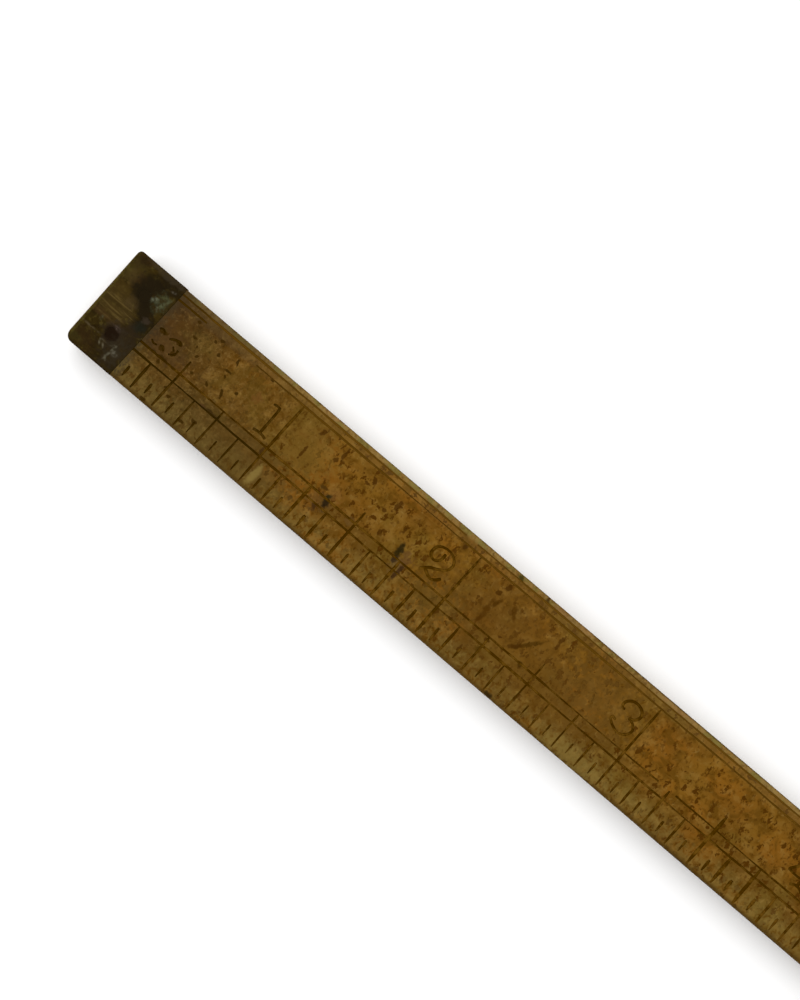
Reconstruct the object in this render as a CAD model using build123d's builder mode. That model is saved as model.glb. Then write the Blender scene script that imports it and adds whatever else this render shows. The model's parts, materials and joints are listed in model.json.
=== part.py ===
from build123d import *
import math
import os

# A two-foot, four-fold carpenter's rule: four boxwood legs, a round brass joint where its two arms meet,
# a knuckle hinge in the middle of each arm and a brass tip on each end.
# Lengths are in millimetres, angles in degrees.
#
# The origin is on the axis of the round joint, in the plane that the rule lies on, and +Z points up out
# of the graduated faces. The left arm runs along -X. The right arm stands open from it by arms_apart.
# Both arms are described alike: a distance is measured out from the round joint, an inset from the plane
# in which the closed arms meet towards the graduated edge, and a height from the underside.

inch = 25.4

# How far the two arms are opened
arms_apart = 35.0

# Legs
inches_per_leg = 6
leg_width = 12.7
leg_thickness = 4.8
arm_gap = 0.2  # between the arms when they are closed
edge_round = 0.25
tip_wear = 0.12  # what use has taken off each end, beyond the zero of the scale
tip_corner_radius = 0.9

# Graduations, cut into the upper faces
parts_of_inch = 16
groove_depth = 0.12
groove_width = 0.2
sixteenth_length = 2.2
eighth_length = 3.9
quarter_length = 5.1
half_length = 6.8
inch_length = 11.25
border_length = 12.0  # outer line of the double border along the inner edge

# Round joint: two outer leaves on the left arm, one middle leaf on the right arm
horn_width = 1.4  # wood left beside the leaves where the arms butt
horn_gap = 0.1
joint_gap = 0.2  # between the leaves and the hollowed ends of the wood
outer_leaf_thickness = 1.5
leaf_gap = 0.05
outer_tang_thickness = 0.7
main_tang_length = 21.6  # into the wood beyond the hollow
main_tang_shoulder = 5.4  # back beside the hollow
pivot_diameter = 6.0

# Knuckle hinges
hinge_gap = 0.1  # between the two heads of an open hinge
hinge_rise = 0.1  # of the hinge axis over the upper faces
hinge_pin_diameter = 1.2
barrel_wall = 1.5
knuckles = 5
knuckle_gap = 0.1
knuckle_clearance = 0.15
head_wall = 0.75  # behind the hollows for the knuckles
hinge_tang_length = 20.0
hinge_tang_thickness = 1.2

# Rivets that hold the tangs
rivet_diameter = 1.7
rivets_per_tang = 3
rivet_margin = 4.0  # from either end of the wood that covers a tang
rivet_inset = 3.75  # from either edge of the leg

# Brass tips
tip_wall = 0.8
tip_rivet_diameter = 1.5
tip_rivet_setback = 4.0  # from the end
tip_rivet_margin = 2.9  # from the back edge of the tip
tip_rivet_inset = 3.6  # from either edge of the leg

# Pins that keep the closed arms in line
closing_pin_diameter = 1.2
closing_pin_reach = 1.1  # out of the edge
closing_pin_depth = 4.0
closing_pin_round = 0.3
closing_hole_spare = 0.4  # beyond the end of the pin
outer_pin_setback = 5.4  # from the brass tip
inner_pin_setback = 6.0  # from the tang of the knuckle hinge

# Fits
held_clearance = 0.01  # round a pin or rivet that is held
turning_clearance = 0.04  # round a pin that turns
closing_clearance = 0.15  # round a closing pin
kerf_spare = 0.1  # beyond the end of a tang

# Places that follow from the sizes
leg_length = inches_per_leg * inch
leg_inner = arm_gap / 2
leg_outer = leg_inner + leg_width
leg_middle = (leg_inner + leg_outer) / 2
half_thickness = leg_thickness / 2
tip_length = tip_rivet_setback + tip_rivet_margin
tip_end = 2 * leg_length - tip_wear
tip_back = tip_end - tip_length

horn_end = horn_gap / 2
hollow_radius = leg_outer - horn_width
disc_radius = hollow_radius - joint_gap
wood_skin = outer_leaf_thickness - outer_tang_thickness
upper_leaf_bottom = leg_thickness - outer_leaf_thickness
middle_leaf_bottom = outer_leaf_thickness + leaf_gap
middle_leaf_thickness = leg_thickness - 2 * middle_leaf_bottom
main_tang_root = hollow_radius - main_tang_shoulder
main_tang_end = hollow_radius + main_tang_length
pivot_radius = pivot_diameter / 2

hinge_height = leg_thickness + hinge_rise
hinge_pin_radius = hinge_pin_diameter / 2
barrel_radius = hinge_pin_radius + barrel_wall
knuckle_hollow_radius = barrel_radius + knuckle_clearance
knuckle_width = (leg_width + knuckle_gap) / knuckles - knuckle_gap
head_length = knuckle_hollow_radius + head_wall
hinge_tang_bottom = half_thickness - hinge_tang_thickness / 2
inner_head_front = leg_length - hinge_gap / 2
inner_head_back = inner_head_front - head_length
inner_tang_end = inner_head_back - hinge_tang_length
outer_head_front = leg_length + hinge_gap / 2
outer_head_back = outer_head_front + head_length
outer_tang_end = outer_head_back + hinge_tang_length

rivet_radius = rivet_diameter / 2
tip_rivet_radius = tip_rivet_diameter / 2
closing_pin_radius = closing_pin_diameter / 2
closing_pin_distances = {"inner": inner_tang_end - inner_pin_setback, "outer": tip_back - outer_pin_setback}

# An arm is its name, its frame, whose x runs out along the arm, and the side of that frame it lies on.
right_heading = math.radians(180 - arms_apart)
right_direction = (math.cos(right_heading), math.sin(right_heading), 0)
left_arm = ("left", Plane(origin=(0, 0, 0), x_dir=(-1, 0, 0), z_dir=(0, 0, 1)), 1)
right_arm = ("right", Plane(origin=(0, 0, 0), x_dir=right_direction, z_dir=(0, 0, 1)), -1)
arms = (left_arm, right_arm)


def bar(arm, near, far):
    """Length of the leg section, its long edges eased."""
    name, frame, side = arm
    start = frame.from_local_coords((near, side * leg_middle, half_thickness))
    with BuildSketch(Plane(origin=start, x_dir=frame.y_dir, z_dir=frame.x_dir)) as section:
        RectangleRounded(leg_width, leg_thickness, edge_round)
    extrude(section.sketch, amount=far - near)


def slab(arm, near, far, bottom, thickness, mode=Mode.ADD):
    """Flat block of the leg's full width."""
    name, frame, side = arm
    with BuildSketch(frame.offset(bottom)) as outline:
        with Locations(((near + far) / 2, side * leg_middle)):
            Rectangle(far - near, leg_width)
    extrude(outline.sketch, amount=thickness, mode=mode)


def upright(arm, spots, radius, bottom, height, mode=Mode.ADD):
    """Upright round bars or holes at the given distances and insets."""
    name, frame, side = arm
    with BuildSketch(frame.offset(bottom)) as circles:
        with Locations([(distance, side * inset) for distance, inset in spots]):
            Circle(radius)
    extrude(circles.sketch, amount=height, mode=mode)


def crosswise(arm, distance, height, inner, outer, radius, mode=Mode.ADD):
    """Round bar or hole that lies across the arm between two insets."""
    name, frame, side = arm
    start = frame.from_local_coords((distance, side * inner, height))
    with BuildSketch(Plane(origin=start, x_dir=frame.x_dir, z_dir=frame.y_dir * side)) as circle:
        Circle(radius)
    extrude(circle.sketch, amount=outer - inner, mode=mode)


def round_tip_corners(arm):
    """Round the two upright corners at the end of an arm."""
    name, frame, side = arm
    with BuildSketch(frame) as plan:
        with Locations((tip_end / 2, side * leg_middle)):
            Rectangle(tip_end, leg_width)
        fillet(plan.vertices().group_by(Axis.X)[-1], tip_corner_radius)
    extrude(plan.sketch, amount=leg_thickness, mode=Mode.INTERSECT)


def rivet_spots(near, far):
    """Rivet places between two distances, beside the inner and the outer edge by turns."""
    step = (far - near - 2 * rivet_margin) / (rivets_per_tang - 1)
    insets = (leg_inner + rivet_inset, leg_outer - rivet_inset)
    return [(near + rivet_margin + step * i, insets[i % 2]) for i in range(rivets_per_tang)]


def tick_length(part):
    """Length of the graduation at a whole number of parts of an inch."""
    if part % parts_of_inch == 0:
        return inch_length
    if part % (parts_of_inch // 2) == 0:
        return half_length
    if part % (parts_of_inch // 4) == 0:
        return quarter_length
    if part % (parts_of_inch // 8) == 0:
        return eighth_length
    return sixteenth_length


def cut_graduations(arm, near, far):
    """Cut the ticks and the four lines that run along the leg into the upper face of the wood."""
    name, frame, side = arm
    step = inch / parts_of_inch
    parts = range(math.ceil(near / step), math.floor(far / step) + 1)
    border_lengths = (eighth_length, quarter_length, inch_length, border_length)
    with BuildSketch(frame.offset(leg_thickness - groove_depth)) as grooves:
        for length in sorted({tick_length(part) for part in parts}):
            places = [part * step for part in parts if tick_length(part) == length]
            with Locations([(place, side * (leg_outer - length / 2)) for place in places]):
                Rectangle(groove_width, length)
        with Locations([((near + far) / 2, side * (leg_outer - length)) for length in border_lengths]):
            Rectangle(far - near, groove_width)
    extrude(grooves.sketch, amount=groove_depth, mode=Mode.SUBTRACT)


def bore_for_closing_pin(arm, distance):
    """Bore the inner edge: a tight bore for the pin itself on the right, a loose hole on the left."""
    if arm is right_arm:
        depth = closing_pin_depth
        radius = closing_pin_radius + held_clearance
    else:
        depth = closing_pin_reach + closing_hole_spare
        radius = closing_pin_radius + closing_clearance
    crosswise(arm, distance, half_thickness, leg_inner, leg_inner + depth, radius, Mode.SUBTRACT)


def knuckle_insets(index):
    """Inner and outer face of one knuckle of a hinge."""
    inner = leg_inner + index * (knuckle_width + knuckle_gap)
    return inner, inner + knuckle_width


def finish(piece, label):
    """Label a piece and write it."""
    piece.part.label = label
    export_step(piece.part, f"parts/{label}.step")


main_rivet_spots = rivet_spots(hollow_radius, main_tang_end)
inner_hinge_rivet_spots = rivet_spots(inner_tang_end, inner_head_back)
outer_hinge_rivet_spots = rivet_spots(outer_head_back, outer_tang_end)
tip_rivet_insets = (leg_inner + tip_rivet_inset, leg_outer - tip_rivet_inset)
tip_rivet_spots = [(tip_end - tip_rivet_setback, inset) for inset in tip_rivet_insets]

os.makedirs("parts", exist_ok=True)

for arm in arms:
    side_name = arm[0]

    # Inner leg: hollowed round the leaves of the main joint and sawn at both ends for the tangs
    with BuildPart() as inner_leg:
        bar(arm, horn_end, inner_head_back)
        upright(arm, [(0, 0)], hollow_radius, 0, leg_thickness, Mode.SUBTRACT)
        main_kerf = (main_tang_root, main_tang_end + kerf_spare)
        if arm is left_arm:
            slab(arm, *main_kerf, wood_skin, outer_tang_thickness, Mode.SUBTRACT)
            slab(arm, *main_kerf, upper_leaf_bottom, outer_tang_thickness, Mode.SUBTRACT)
        else:
            slab(arm, *main_kerf, middle_leaf_bottom, middle_leaf_thickness, Mode.SUBTRACT)
        hinge_kerf = (inner_tang_end - kerf_spare, inner_head_back)
        slab(arm, *hinge_kerf, hinge_tang_bottom, hinge_tang_thickness, Mode.SUBTRACT)
        bored_spots = main_rivet_spots + inner_hinge_rivet_spots
        upright(arm, bored_spots, rivet_radius + held_clearance, 0, leg_thickness, Mode.SUBTRACT)
        bore_for_closing_pin(arm, closing_pin_distances["inner"])
        cut_graduations(arm, horn_end, inner_head_back)
    finish(inner_leg, f"inner_leg_{side_name}")

    # Outer leg: sawn for the tang of its hinge leaf and let in flush round the brass tip
    with BuildPart() as outer_leg:
        bar(arm, outer_head_back, tip_end)
        round_tip_corners(arm)
        slab(arm, tip_back, tip_end, 0, tip_wall, Mode.SUBTRACT)
        slab(arm, tip_back, tip_end, leg_thickness - tip_wall, tip_wall, Mode.SUBTRACT)
        slab(arm, tip_end - tip_wall, tip_end, 0, leg_thickness, Mode.SUBTRACT)
        hinge_kerf = (outer_head_back, outer_tang_end + kerf_spare)
        slab(arm, *hinge_kerf, hinge_tang_bottom, hinge_tang_thickness, Mode.SUBTRACT)
        upright(arm, outer_hinge_rivet_spots, rivet_radius + held_clearance, 0, leg_thickness, Mode.SUBTRACT)
        upright(arm, tip_rivet_spots, tip_rivet_radius + held_clearance, 0, leg_thickness, Mode.SUBTRACT)
        bore_for_closing_pin(arm, closing_pin_distances["outer"])
        cut_graduations(arm, outer_head_back, tip_back)
    finish(outer_leg, f"outer_leg_{side_name}")

    # Brass tip: one strip folded round the end of the leg
    with BuildPart() as end_tip:
        bar(arm, tip_back, tip_end)
        round_tip_corners(arm)
        fold_depth = leg_thickness - 2 * tip_wall
        slab(arm, tip_back, tip_end - tip_wall, tip_wall, fold_depth, Mode.SUBTRACT)
        upright(arm, tip_rivet_spots, tip_rivet_radius + held_clearance, 0, leg_thickness, Mode.SUBTRACT)
    finish(end_tip, f"end_tip_{side_name}")

    with BuildPart() as tip_rivets:
        upright(arm, tip_rivet_spots, tip_rivet_radius, 0, leg_thickness)
    finish(tip_rivets, f"tip_rivets_{side_name}")

    # Hinge leaves: a head that fills the leg section, knuckles over its front edge, a tang behind it
    hinge_leaves = {
        "inner": (inner_head_front, inner_head_back, inner_tang_end, 0, inner_hinge_rivet_spots),
        "outer": (outer_head_front, outer_head_back, outer_tang_end, 1, outer_hinge_rivet_spots),
    }
    pin_clearances = {"inner": held_clearance, "outer": turning_clearance}
    for leaf_name, (front, back, tang_end, first_knuckle, spots) in hinge_leaves.items():
        with BuildPart() as hinge_leaf:
            bar(arm, min(front, back), max(front, back))
            slab(arm, min(back, tang_end), max(back, tang_end), hinge_tang_bottom, hinge_tang_thickness)
            for index in range(1 - first_knuckle, knuckles, 2):
                inner, outer = knuckle_insets(index)
                hollow = (inner - knuckle_gap, outer + knuckle_gap, knuckle_hollow_radius)
                crosswise(arm, leg_length, hinge_height, *hollow, Mode.SUBTRACT)
            for index in range(first_knuckle, knuckles, 2):
                crosswise(arm, leg_length, hinge_height, *knuckle_insets(index), barrel_radius)
            bore = (leg_inner, leg_outer, hinge_pin_radius + pin_clearances[leaf_name])
            crosswise(arm, leg_length, hinge_height, *bore, Mode.SUBTRACT)
            upright(arm, spots, rivet_radius + held_clearance, 0, leg_thickness, Mode.SUBTRACT)
        finish(hinge_leaf, f"{side_name}_hinge_{leaf_name}_leaf")

        with BuildPart() as hinge_rivets:
            upright(arm, spots, rivet_radius, 0, leg_thickness)
        finish(hinge_rivets, f"{side_name}_hinge_{leaf_name}_rivets")

    with BuildPart() as hinge_pin:
        crosswise(arm, leg_length, hinge_height, leg_inner, leg_outer, hinge_pin_radius)
    finish(hinge_pin, f"{side_name}_hinge_pin")

    with BuildPart() as main_rivets:
        upright(arm, main_rivet_spots, rivet_radius, 0, leg_thickness)
    finish(main_rivets, f"main_joint_rivets_{side_name}")

# Outer leaves of the round joint: flush with the faces at the disc, thinner at the tang inside the wood
outer_leaf_levels = {"upper": (upper_leaf_bottom, upper_leaf_bottom), "lower": (0, wood_skin)}
for leaf_name, (disc_bottom, tang_bottom) in outer_leaf_levels.items():
    with BuildPart() as outer_leaf:
        upright(left_arm, [(0, 0)], disc_radius, disc_bottom, outer_leaf_thickness)
        slab(left_arm, main_tang_root, main_tang_end, tang_bottom, outer_tang_thickness)
        upright(left_arm, [(0, 0)], pivot_radius + held_clearance, 0, leg_thickness, Mode.SUBTRACT)
        upright(left_arm, main_rivet_spots, rivet_radius + held_clearance, 0, leg_thickness, Mode.SUBTRACT)
    finish(outer_leaf, f"main_joint_{leaf_name}_leaf")

with BuildPart() as middle_leaf:
    upright(right_arm, [(0, 0)], disc_radius, middle_leaf_bottom, middle_leaf_thickness)
    slab(right_arm, main_tang_root, main_tang_end, middle_leaf_bottom, middle_leaf_thickness)
    upright(right_arm, [(0, 0)], pivot_radius + turning_clearance, 0, leg_thickness, Mode.SUBTRACT)
    upright(right_arm, main_rivet_spots, rivet_radius + held_clearance, 0, leg_thickness, Mode.SUBTRACT)
finish(middle_leaf, "main_joint_middle_leaf")

with BuildPart() as main_pivot:
    upright(left_arm, [(0, 0)], pivot_radius, 0, leg_thickness)
finish(main_pivot, "main_joint_pivot")

# Closing pins, driven into the inner edge of the right arm
for leg_name, distance in closing_pin_distances.items():
    with BuildPart() as closing_pin:
        pin_ends = (leg_inner - closing_pin_reach, leg_inner + closing_pin_depth)
        crosswise(right_arm, distance, half_thickness, *pin_ends, closing_pin_radius)
        free_end = closing_pin.edges().sort_by(Axis(right_arm[1].origin, right_arm[1].y_dir))[-1]
        fillet(free_end, closing_pin_round)
    finish(closing_pin, f"closing_pin_{leg_name}")
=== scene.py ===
import json
import math

import bmesh
import bpy
from mathutils import Matrix, Vector, noise


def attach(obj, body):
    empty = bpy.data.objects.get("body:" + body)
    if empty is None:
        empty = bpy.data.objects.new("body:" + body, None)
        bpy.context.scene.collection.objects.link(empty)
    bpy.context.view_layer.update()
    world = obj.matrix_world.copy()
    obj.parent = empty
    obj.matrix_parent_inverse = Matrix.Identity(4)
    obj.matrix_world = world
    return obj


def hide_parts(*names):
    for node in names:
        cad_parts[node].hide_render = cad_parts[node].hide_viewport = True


# A worn two-foot, four-fold rule: boxwood legs with engraved scales, brass joints, hinges and tips.
#
# Every piece is made in millimetres on the opened, straight rule and then turned to where its arm lies.
# There X runs along the rule, with 0 at the round joint. Y is 0 in the plane where the closed arms meet
# and falls towards the graduated edge. Z is 0 on the floor.

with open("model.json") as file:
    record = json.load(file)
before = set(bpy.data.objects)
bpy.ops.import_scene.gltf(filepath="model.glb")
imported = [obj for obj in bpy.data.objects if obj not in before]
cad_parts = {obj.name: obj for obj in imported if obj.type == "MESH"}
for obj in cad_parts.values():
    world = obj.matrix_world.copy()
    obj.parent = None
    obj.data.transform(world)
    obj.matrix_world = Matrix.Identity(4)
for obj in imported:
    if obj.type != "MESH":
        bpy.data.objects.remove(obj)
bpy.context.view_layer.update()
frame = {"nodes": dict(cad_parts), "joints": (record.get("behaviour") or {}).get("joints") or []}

mm = 0.001
inch = 25.4

joints = {joint["name"]: joint for joint in frame["joints"]}
right_heading = -math.radians(joints["main_joint"]["range_deg"][0])
turns = {"left": Matrix.Identity(3), "right": Matrix.Rotation(right_heading, 3, "Z")}
sides = {"left": -1, "right": 1}


def span(node, arm):
    """Lowest and highest corner of a CAD node on the straight rule, in millimetres."""
    back = turns[arm].transposed()
    points = [back @ vertex.co / mm for vertex in frame["nodes"][node].data.vertices]
    low = Vector([min(point[axis] for point in points) for axis in range(3)])
    high = Vector([max(point[axis] for point in points) for axis in range(3)])
    return low, high


# Sizes read from the frame, on the left arm. Distances run out from the round joint.
inner_low, inner_high = span("inner_leg_left", "left")
outer_low, outer_high = span("outer_leg_left", "left")
tip_low, tip_high = span("end_tip_left", "left")
disc_low, disc_high = span("main_joint_upper_leaf", "left")
pivot_low, pivot_high = span("main_joint_pivot", "left")
_, leaf_high = span("left_hinge_inner_leaf", "left")
far_leaf_low, _ = span("left_hinge_outer_leaf", "left")
pin_low, pin_high = span("left_hinge_pin", "left")

edge_y = inner_low.y
inner_y = inner_high.y
top_z = inner_high.z
leg_width = inner_y - edge_y
horn_end = -inner_high.x
inner_head_back = -inner_low.x
outer_head_back = -outer_high.x
core_end = -outer_low.x
tip_back = -tip_high.x
tip_end = -tip_low.x
hinge_axis = -(pin_low.x + pin_high.x) / 2
hinge_height = (pin_low.z + pin_high.z) / 2
hinge_pin_radius = (pin_high.z - pin_low.z) / 2
barrel_radius = leaf_high.z - hinge_height
inner_tang_end = -leaf_high.x
outer_tang_end = -far_leaf_low.x
disc_radius = disc_high.x
disc_bottom = disc_low.z
main_tang_end = -disc_low.x
pivot_radius = (pivot_high.x - pivot_low.x) / 2

# Sizes that the boxes don't give
hinge_gap = 0.1
knuckles = 5
knuckle_gap = 0.1
knuckle_hollow_radius = barrel_radius + 0.15
hinge_tang = (1.8, 3)
joint_gap = 0.2
hollow_radius = disc_radius + joint_gap
main_tang_root = hollow_radius - 5.4
outer_tang_thickness = 0.7
leaf_gap = 0.05
middle_leaf = (top_z - disc_bottom + leaf_gap, disc_bottom - leaf_gap)
lower_tang = (top_z - disc_bottom - outer_tang_thickness, top_z - disc_bottom)
upper_tang = (disc_bottom, top_z - lower_tang[0])
kerf_spare = 0.1
seam_room = 0.05
tip_wall = 0.8
rivet_diameter = 1.7
rivet_room = 0.01
turning_room = 0.02
closing_hole_radius = 0.75
closing_hole_depth = 1.5

spare = 1  # how far cutters reach past what they cut

# How many sides round shapes have
round_steps = 32
barrel_steps = 64
bore_steps = 96
disc_steps = 128

# The scale: lengths of its lines from the graduated edge
tick_lengths = {16: 11.25, 8: 6.8, 4: 5.1, 2: 3.9, 1: 2.2}
border_insets = (3.9, 5.1, 11.25, 12)
tick_lean = math.radians(1.5)
scale_start = -12 * inch


class Finish:
    """A material of nodes, with short calls for what the finishes share. Lengths are in millimetres.

    Its colour is built up by tints, and the spots on it are placed by their distance from start along X.
    """

    def __init__(self, name, start=0):
        self.material = bpy.data.materials.new(name)
        self.material.use_nodes = True
        self.tree = self.material.node_tree
        self.shader = self.tree.nodes["Principled BSDF"]
        self.start = start
        self.colour = None
        self.place = self.node("ShaderNodeAttribute", {}, attribute_name="place")["Vector"]
        self.x, self.y, self.z = self.split(self.place)
        self.flat = self.point(self.x, self.y)
        self.uneven = self.math("SUBTRACT", self.noise((1.9,) * 3, 3, 0.5, 0.3), 0.5)
        self.reach = self.math("ABSOLUTE", self.x)

    def feed(self, socket, value):
        """Link a socket to another one, or set it to a number or colour."""
        if isinstance(value, bpy.types.NodeSocket):
            self.tree.links.new(value, socket)
        else:
            socket.default_value = value

    def node(self, kind, inputs, **settings):
        """Outputs of a new node. Its inputs are given by number or name."""
        node = self.tree.nodes.new(kind)
        for name, value in settings.items():
            setattr(node, name, value)
        for key, value in inputs.items():
            self.feed(node.inputs[key], value)
        return node.outputs

    def give(self, name, value):
        """Set or link one socket of the shader."""
        self.feed(self.shader.inputs[name], value)

    def math(self, operation, *values):
        return self.node("ShaderNodeMath", dict(enumerate(values)), operation=operation)[0]

    def vector(self, operation, *values):
        outputs = self.node("ShaderNodeVectorMath", dict(enumerate(values)), operation=operation)
        return outputs["Value" if operation in ("LENGTH", "DOT_PRODUCT") else "Vector"]

    def split(self, vector):
        return self.node("ShaderNodeSeparateXYZ", {0: vector})

    def point(self, x, y, z=0):
        return self.node("ShaderNodeCombineXYZ", {0: x, 1: y, 2: z})[0]

    def noise(self, stretch, detail=2, roughness=0.5, distortion=0, shift=0, place=None):
        """Noise with so many features in a millimetre along X, Y and Z."""
        spot = self.vector("MULTIPLY", self.vector("ADD", place or self.place, (shift,) * 3), stretch)
        inputs = {"Vector": spot, "Scale": 1}
        inputs |= {"Detail": detail, "Roughness": roughness, "Distortion": distortion}
        return self.node("ShaderNodeTexNoise", inputs)["Fac"]

    def cells(self, stretch, unease, shift):
        """Spots scattered over the faces, so many in a millimetre along and across the rule.

        Gives how far the nearest spot is, in cell widths, and a number of its own.
        """
        flat = self.point(self.math("ADD", self.x, shift), self.math("ADD", self.y, self.z))
        spot = self.vector("MULTIPLY", flat, (*stretch, 0))
        bend = self.node("ShaderNodeTexNoise", {"Vector": spot, "Scale": 2.6})["Color"]
        bend = self.vector("MULTIPLY", self.vector("SUBTRACT", bend, (0.5,) * 3), (unease,) * 3)
        inputs = {"Vector": self.vector("ADD", spot, bend), "Scale": 1}
        cell = self.node("ShaderNodeTexVoronoi", inputs, voronoi_dimensions="2D")
        return cell["Distance"], self.split(cell["Color"])[0]

    def ramp(self, value, start, end, low=0, high=1):
        """Smooth step from low at start to high at end."""
        inputs = {"Value": value, "From Min": start, "From Max": end, "To Min": low, "To Max": high}
        return self.node("ShaderNodeMapRange", inputs, interpolation_type="SMOOTHSTEP")[0]

    def from_edge(self, start, end, *levels):
        """Ramp between two distances from the graduated edge."""
        return self.ramp(self.y, edge_y + start, edge_y + end, *levels)

    def from_inner(self, start, end, *levels):
        """Ramp between two distances from the inner edge."""
        return self.ramp(self.y, inner_y - start, inner_y - end, *levels)

    def from_ends(self, start, end, *levels):
        """Ramp between two distances from the zero of the scale, alike on both arms."""
        return self.ramp(self.reach, -scale_start - start, -scale_start - end, *levels)

    def upper_face(self):
        return self.ramp(self.z, top_z - 0.6, top_z - 0.2)

    def mix(self, share, first, second):
        return self.node("ShaderNodeMix", {0: share, 6: first, 7: second}, data_type="RGBA")[2]

    def blot(self, distance, y, length, width, angle=0, soft=0.9, ragged=0.4):
        """Spot on the rule: 1 inside an uneven ellipse, 0 outside."""
        turned_x, turned_y = math.cos(math.radians(angle)), math.sin(math.radians(angle))
        away = self.vector("SUBTRACT", self.flat, (self.start + distance, y, 0))
        u = self.vector("DOT_PRODUCT", away, (turned_x * 2 / length, turned_y * 2 / length, 0))
        v = self.vector("DOT_PRODUCT", away, (-turned_y * 2 / width, turned_x * 2 / width, 0))
        out = self.vector("LENGTH", self.point(u, v))
        out = self.math("MULTIPLY_ADD", self.uneven, 5 * ragged, out)
        return self.ramp(out, 1 + soft / 2, 1 - soft / 2)

    def tint(self, share, shade, *masks):
        """Paint over the colour so far in a share of one, and only where all the masks are.

        A mask can also be given as the values of a ramp.
        """
        for mask in masks:
            mask = self.ramp(*mask) if isinstance(mask, tuple) else mask
            share = self.math("MULTIPLY", mask, share)
        self.colour = self.mix(share, self.colour, paint(*shade))

    def bump(self, height, depth):
        """Push the surface by height, where 1 is so many millimetres."""
        self.give("Normal", self.node("ShaderNodeBump", {"Distance": depth * mm, "Height": height})[0])


def paint(red, green, blue):
    """Colour from its screen values of 0 to 255."""
    shares = [value / 255 for value in (red, green, blue)]
    linear = [share / 12.92 if share <= 0.04045 else ((share + 0.055) / 1.055) ** 2.4 for share in shares]
    return (*linear, 1)


def flecks(wood, stretch, unease, shift, share):
    """Dark marks in a share of the cells. Their radii are in cell widths."""
    least, most = 0.08, 0.3
    distance, number = wood.cells(stretch, unease, shift)
    radius = wood.math("ADD", wood.math("MULTIPLY", number, (most - least) / share), least)
    left_out = wood.math("MULTIPLY", wood.math("GREATER_THAN", number, share), 9)
    radius = wood.math("SUBTRACT", radius, left_out)
    return wood.ramp(wood.math("SUBTRACT", distance, radius), 0.1, -0.08)


# Marks of the first leg: distance from the zero of the scale, y, length, width, an angle if they lie askew,
# and mostly a colour
halos = (
    (33.4, -8.4, 2.2, 2.2, (84, 58, 24)), (34.4, -6.9, 1.5, 1.5, (108, 72, 28)),
    (44.4, -8.3, 1.4, 1.6, (98, 78, 44)), (44.8, -7, 1.4, 1.8, (78, 50, 28)),
    (50, -8.6, 6.5, 3.4, 10, (84, 66, 24)), (37.4, -7.9, 0.9, 1, (84, 60, 26)),
    (9.2, -4.1, 3, 2.6, (74, 48, 14)), (9.6, -6.5, 3.4, 2.4, (96, 66, 26)),
    (20.5, -3.6, 2.6, 4, 40, (76, 54, 8)), (32.3, -5.7, 1, 1.4, (114, 72, 20)),
    (19.1, -8.5, 2.2, 0.6, (72, 54, 14)), (17.5, -4, 1.4, 5, -28, (80, 58, 14)),
    (61, -6.5, 24, 11, (84, 56, 14)), (29, -5.2, 6, 5.4, (106, 80, 28)),
    (23, -10.6, 15, 5.4, (76, 56, 20)), (21, -4.2, 1.2, 1.2, (98, 62, 24)),
    (71, -4.6, 9, 8, (90, 64, 20)), (72, -11.8, 8, 2, (118, 98, 46)), (9.3, -6.4, 5.2, 3, (54, 38, 18)),
)
stains = (
    (34.1, -8, 0.7, 1.5, 12, (24, 17, 6)), (33.4, -9.2, 0.6, 0.9, 30, (52, 32, 10)),
    (34, -7.35, 0.5, 0.6, (28, 28, 8)), (43.7, -6.9, 0.7, 1.6, 3, (22, 19, 2)),
    (43.9, -7.9, 0.6, 0.9, (44, 30, 14)), (45, -8.9, 0.5, 2.3, -8, (50, 29, 10)),
    (25.2, -8.2, 0.5, 1.4, (54, 33, 8)), (48.9, -1.9, 0.6, 0.6, (54, 30, 0)),
    (55.7, -0.5, 0.8, 0.6, (50, 40, 4)), (59.4, -0.45, 0.5, 0.6, (52, 27, 0)),
    (61, -12.5, 1.1, 0.5, (36, 25, 4)), (16.9, -8.8, 0.7, 0.5, (64, 42, 20)),
    (61.6, -7.8, 0.6, 0.6, (60, 38, 2)), (57, -9.3, 0.7, 0.8, (68, 45, 2)),
    (60.9, -5.6, 3.4, 0.5, 50, (66, 42, 2)), (55, -5.9, 0.6, 3.2, 4, (68, 40, 0)),
    (57.4, -3.75, 2, 0.5, -56, (68, 40, 0)), (8.3, -5.2, 0.9, 0.4, -10, (62, 48, 10)),
    (33, -6.9, 1, 0.4, (62, 40, 6)), (55.4, -4.4, 0.45, 1.4, -15, (64, 38, 0)),
    (59.9, -6.6, 1.6, 0.45, 40, (60, 34, 0)), (10.1, -7.6, 1.1, 0.4, (44, 28, 0)),
    (8.9, -7.65, 0.6, 0.4, (46, 32, 4)), (18.3, -8.75, 1.8, 0.4, (46, 30, 4)),
    (54.9, -6.9, 0.45, 0.9, (66, 38, 0)),
)
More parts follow.
